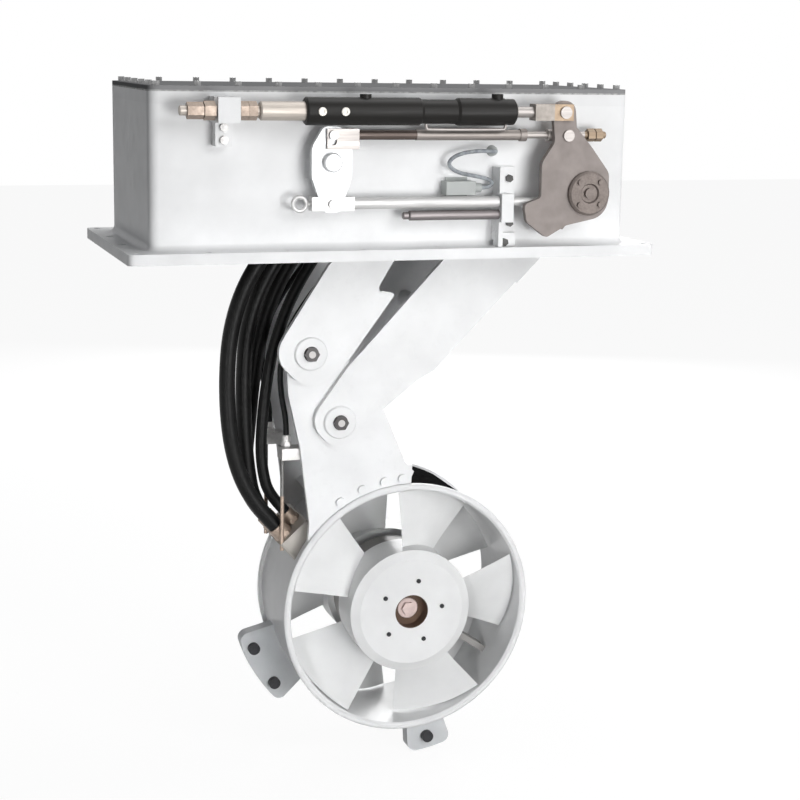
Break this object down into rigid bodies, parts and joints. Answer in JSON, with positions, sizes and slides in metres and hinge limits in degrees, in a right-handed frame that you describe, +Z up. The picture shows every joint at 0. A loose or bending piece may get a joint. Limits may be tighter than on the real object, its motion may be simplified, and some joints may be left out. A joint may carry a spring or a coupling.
{
  "type": "retractable bow thruster",
  "caption": "Flanged housing whose hydraulic crank swings two legs down with a ducted pair of propellers; hoses, lock linkage and bolted lid.",
  "frame": {"origin": "middle of the flange's underside", "axes": "+X along the housing towards the main shaft, -Y towards the cylinder and crank, +Z up through the lid"},
  "size_m": [0.814, 0.421, 1.0847],
  "materials": {
    "white_paint": "gloss white paint",
    "arm_paint": "gloss white paint",
    "tunnel_paint": "white paint, light grey between the lips",
    "propeller_metal": "pale grey, smooth",
    "crank_metal": "warm grey, machined",
    "dark_steel": "dark, oiled",
    "steel": "ground steel",
    "fasteners": "zinc plated",
    "silver_lever": "bright cast",
    "black_anodised": "black, satin",
    "bronze": "bronze, dull",
    "motor_grey": "grey paint",
    "lug_grey": "blue grey paint",
    "black_bolts": "blackened",
    "rubber": "matt",
    "hose_rubber": "black, slightly glossy",
    "sensor_plastic": "grey green",
    "cable_grey": "grey sheath"
  },
  "bodies": {
    "root": {"housing": "white_paint", "lid_gasket": "rubber", "housing_lid": "white_paint", "lid_bolts": "fasteners", "shaft_bushes": "dark_steel", "rotary_union": "motor_grey", "link_shaft": "steel", "anchor_bracket": "white_paint", "lever_pivot": "silver_lever", "lock_bracket": "white_paint", "bracket_bolts": "fasteners", "spring_cartridge": "dark_steel", "position_sensor": "sensor_plastic", "sensor_cable": "cable_grey"},
    "swing": {"main_shaft": "steel", "arm_front": "arm_paint", "arm_rear": "arm_paint", "arm_tubes": "arm_paint", "arm_oil_block": "motor_grey", "lower_pivot_pin": "steel", "crank_plate": "crank_metal", "crank_hub_cap": "dark_steel", "crank_pins": "steel", "lock_cam": "crank_metal", "hose_fittings_arm": "bronze"},
    "upper_link": {"link_front": "arm_paint", "link_rear": "arm_paint", "link_tubes": "arm_paint", "upper_pivot_pin": "steel"},
    "platform": {"platform_front": "arm_paint", "platform_rear": "arm_paint", "platform_tubes": "arm_paint", "tunnel_saddle": "arm_paint", "platform_bolts": "fasteners", "tunnel": "tunnel_paint", "motor_pod": "motor_grey", "tunnel_port_block": "motor_grey", "door_lugs": "lug_grey", "door_lug_bolts": "black_bolts", "hose_fittings_tunnel": "bronze", "hose_pressure": "hose_rubber", "hose_supply": "hose_rubber", "hose_return": "hose_rubber", "hose_feed": "hose_rubber", "hose_drain_front": "hose_rubber", "hose_drain_rear": "hose_rubber"},
    "propeller": {"propeller_front": "propeller_metal", "propeller_rear": "propeller_metal", "propeller_shaft": "steel"},
    "cylinder_rod": {"piston_rod": "steel", "rod_fork": "bronze"},
    "cylinder": {"cylinder_tube": "black_anodised", "cylinder_gland": "black_anodised", "cylinder_rear_cap": "steel", "anchor_nuts": "fasteners"},
    "link_rod": {"link_rod": "steel", "swivel_block": "bronze"},
    "link_sleeve": {"link_sleeve": "steel"},
    "lever": {"lever": "silver_lever"},
    "plunger": {"lock_plunger": "steel"}
  },
  "joints": [
    {"name": "swing", "type": "hinge", "parent": "root", "child": "swing", "pos_m": [0.2862, 0, 0.097], "axis": [0, 1, 0], "range_deg": [0, 38], "deforming": ["hose_pressure", "hose_supply", "hose_return", "hose_feed", "hose_drain_front", "hose_drain_rear"]},
    {"name": "upper_link_swing", "type": "hinge", "parent": "root", "child": "upper_link", "pos_m": [0.2388, 0, 0.206], "axis": [0, 1, 0], "range_deg": [0, 38]},
    {"name": "platform_tilt", "type": "hinge", "parent": "swing", "child": "platform", "pos_m": [-0.0649, 0, -0.2617], "axis": [0, 1, 0], "range_deg": [-38, 0]},
    {"name": "propeller_spin", "type": "hinge", "parent": "platform", "child": "propeller", "pos_m": [0.0527, 0, -0.5727], "axis": [0, -1, 0], "continuous": true},
    {"name": "rod_pivot", "type": "hinge", "parent": "swing", "child": "cylinder_rod", "pos_m": [0.2425, -0.204, 0.217], "axis": [0, 1, 0], "range_deg": [-38, 0]},
    {"name": "cylinder_stroke", "type": "slide", "parent": "cylinder_rod", "child": "cylinder", "axis": [-1, 0, 0], "range_m": [0, 0.0834]},
    {"name": "swivel_pivot", "type": "hinge", "parent": "swing", "child": "link_rod", "pos_m": [0.2512, -0.187, 0.1827], "axis": [0, 1, 0], "range_deg": [-38, 0]},
    {"name": "spring_link_slide", "type": "slide", "parent": "link_rod", "child": "link_sleeve", "axis": [-1, 0, 0], "range_m": [0, 0.0527]},
    {"name": "lever_swing", "type": "hinge", "parent": "root", "child": "lever", "pos_m": [-0.11, -0.187, 0.1436], "axis": [0, 1, 0], "range_deg": [0, 11.5]},
    {"name": "lock_release", "type": "slide", "parent": "root", "child": "plunger", "axis": [-1, 0, 0], "range_m": [0, 0.0121]}
  ],
  "couplings": [
    {"joint": "upper_link_swing", "follows": "swing", "ratio": 1},
    {"joint": "platform_tilt", "follows": "swing", "ratio": -1},
    {"joint": "rod_pivot", "follows": "swing", "ratio": -1},
    {"joint": "cylinder_stroke", "follows": "swing", "m_per_rad": 0.12536},
    {"joint": "swivel_pivot", "follows": "swing", "ratio": -1},
    {"joint": "spring_link_slide", "follows": "swing", "m_per_rad": 0.079011},
    {"joint": "lever_swing", "follows": "swing", "ratio": 0.3},
    {"joint": "lock_release", "follows": "swing", "m_per_rad": 0.01788}
  ]
}
